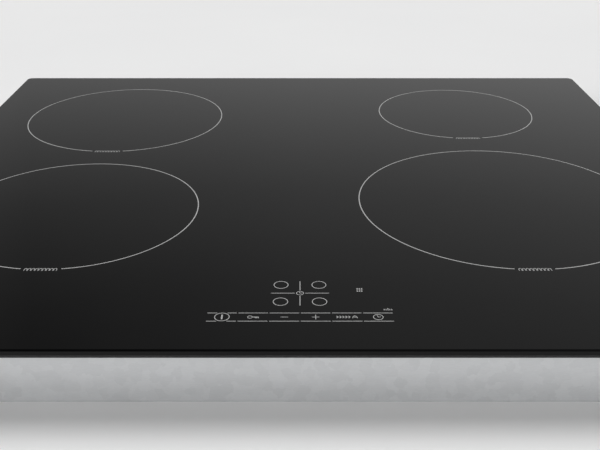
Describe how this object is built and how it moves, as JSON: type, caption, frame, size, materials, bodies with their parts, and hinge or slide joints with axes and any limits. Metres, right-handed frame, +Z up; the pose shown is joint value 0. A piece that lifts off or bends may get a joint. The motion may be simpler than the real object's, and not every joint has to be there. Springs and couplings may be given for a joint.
{
  "type": "induction cooktop",
  "caption": "Frameless black glass built-in induction cooktop with round zones, a front touch control, and a sheet-steel tray holding coils, power boards and fans.",
  "frame": {"origin": "centre of the whole object's footprint, at the underside of the tray", "axes": "+Z up out of the glass, +X to the user's right, +Y to the back, so the controls are at -Y"},
  "size_m": [0.592, 0.522, 0.051],
  "materials": {
    "glass_ceramic": "polished black, with a fine grey print",
    "zinc_steel": "galvanised sheet, dull spangle",
    "frame_steel": "black powder coat",
    "spring_steel": "bright spring steel",
    "screw_steel": "zinc plated",
    "foam": "closed-cell foam",
    "aluminium": "mill finish",
    "copper_litz": "enamelled stranded wire",
    "former_plastic": "moulded, heat resistant",
    "mica": "pressed mica sheet",
    "black_plastic": "moulded, flame retardant",
    "silicone": "moulded silicone",
    "circuit_board": "solder mask over copper tracks",
    "terminal_plastic": "moulded",
    "ribbon": "flat ribbon cable",
    "wire": "sleeved wires"
  },
  "bodies": {
    "hob": {"glass_plate": "glass_ceramic", "worktop_seal": "foam", "support_frame": "frame_steel", "base_tray": "zinc_steel", "filter_board": "circuit_board", "terminal_box": "black_plastic", "terminal_block": "terminal_plastic", "cable_gland": "black_plastic", "control_carrier": "black_plastic", "control_board": "circuit_board", "control_ribbon": "ribbon", "mains_wires": "wire", "case_screw_front_left": "screw_steel", "case_screw_front_right": "screw_steel", "case_screw_rear_left": "screw_steel", "case_screw_rear_right": "screw_steel", "case_screw_left": "screw_steel", "case_screw_right": "screw_steel", "power_board_left": "circuit_board", "board_carrier_left": "black_plastic", "heatsink_left": "aluminium", "fan_housing_left": "black_plastic", "fan_motor_left": "screw_steel", "power_board_right": "circuit_board", "board_carrier_right": "black_plastic", "heatsink_right": "aluminium", "fan_housing_right": "black_plastic", "fan_motor_right": "screw_steel"},
    "terminal_lid": {"terminal_lid": "black_plastic"},
    "retaining_spring_left_front": {"retaining_spring_left_front": "spring_steel"},
    "retaining_spring_left_rear": {"retaining_spring_left_rear": "spring_steel"},
    "retaining_spring_right_front": {"retaining_spring_right_front": "spring_steel"},
    "retaining_spring_right_rear": {"retaining_spring_right_rear": "spring_steel"},
    "fan_rotor_left": {"fan_rotor_left": "black_plastic"},
    "fan_rotor_right": {"fan_rotor_right": "black_plastic"},
    "coil_unit_left": {"coil_former_front_left": "former_plastic", "coil_winding_front_left": "copper_litz", "insulation_sheet_front_left": "mica", "temperature_sensor_front_left": "silicone", "coil_former_rear_left": "former_plastic", "coil_winding_rear_left": "copper_litz", "insulation_sheet_rear_left": "mica", "temperature_sensor_rear_left": "silicone", "coil_plate_left": "aluminium", "plate_spring_left_1": "spring_steel", "plate_spring_left_2": "spring_steel", "plate_spring_left_3": "spring_steel"},
    "coil_unit_right": {"coil_former_front_right": "former_plastic", "coil_winding_front_right": "copper_litz", "insulation_sheet_front_right": "mica", "temperature_sensor_front_right": "silicone", "coil_former_rear_right": "former_plastic", "coil_winding_rear_right": "copper_litz", "insulation_sheet_rear_right": "mica", "temperature_sensor_rear_right": "silicone", "coil_plate_right": "aluminium", "plate_spring_right_1": "spring_steel", "plate_spring_right_2": "spring_steel", "plate_spring_right_3": "spring_steel"}
  },
  "joints": [
    {"name": "fan_spin_left", "type": "hinge", "parent": "hob", "child": "fan_rotor_left", "pos_m": [-0.165, 0.14, 0.014], "axis": [0, 0, 1], "continuous": true},
    {"name": "fan_spin_right", "type": "hinge", "parent": "hob", "child": "fan_rotor_right", "pos_m": [0.165, 0.14, 0.014], "axis": [0, 0, 1], "continuous": true},
    {"name": "coil_unit_press_left", "type": "slide", "parent": "hob", "child": "coil_unit_left", "axis": [0, 0, 1], "range_m": [-0.002, 0], "stiffness_N_per_m": 2500, "springref_m": 0.015, "deforming": ["plate_spring_left_1", "plate_spring_left_2", "plate_spring_left_3"]},
    {"name": "coil_unit_press_right", "type": "slide", "parent": "hob", "child": "coil_unit_right", "axis": [0, 0, 1], "range_m": [-0.002, 0], "stiffness_N_per_m": 2500, "springref_m": 0.015, "deforming": ["plate_spring_right_1", "plate_spring_right_2", "plate_spring_right_3"]},
    {"name": "spring_flex_left_front", "type": "hinge", "parent": "hob", "child": "retaining_spring_left_front", "pos_m": [-0.2756, -0.15, 0.0405], "axis": [0, -1, 0], "range_deg": [0, 7], "stiffness_Nm_per_rad": 2},
    {"name": "spring_flex_left_rear", "type": "hinge", "parent": "hob", "child": "retaining_spring_left_rear", "pos_m": [-0.2756, 0.15, 0.0405], "axis": [0, -1, 0], "range_deg": [0, 7], "stiffness_Nm_per_rad": 2},
    {"name": "spring_flex_right_front", "type": "hinge", "parent": "hob", "child": "retaining_spring_right_front", "pos_m": [0.2756, -0.15, 0.0405], "axis": [0, 1, 0], "range_deg": [0, 7], "stiffness_Nm_per_rad": 2},
    {"name": "spring_flex_right_rear", "type": "hinge", "parent": "hob", "child": "retaining_spring_right_rear", "pos_m": [0.2756, 0.15, 0.0405], "axis": [0, 1, 0], "range_deg": [0, 7], "stiffness_Nm_per_rad": 2},
    {"name": "terminal_lid_hinge", "type": "hinge", "parent": "hob", "child": "terminal_lid", "pos_m": [-0.0254, 0.2375, 0.0087], "axis": [-1, 0, 0], "range_deg": [0, 100]}
  ]
}
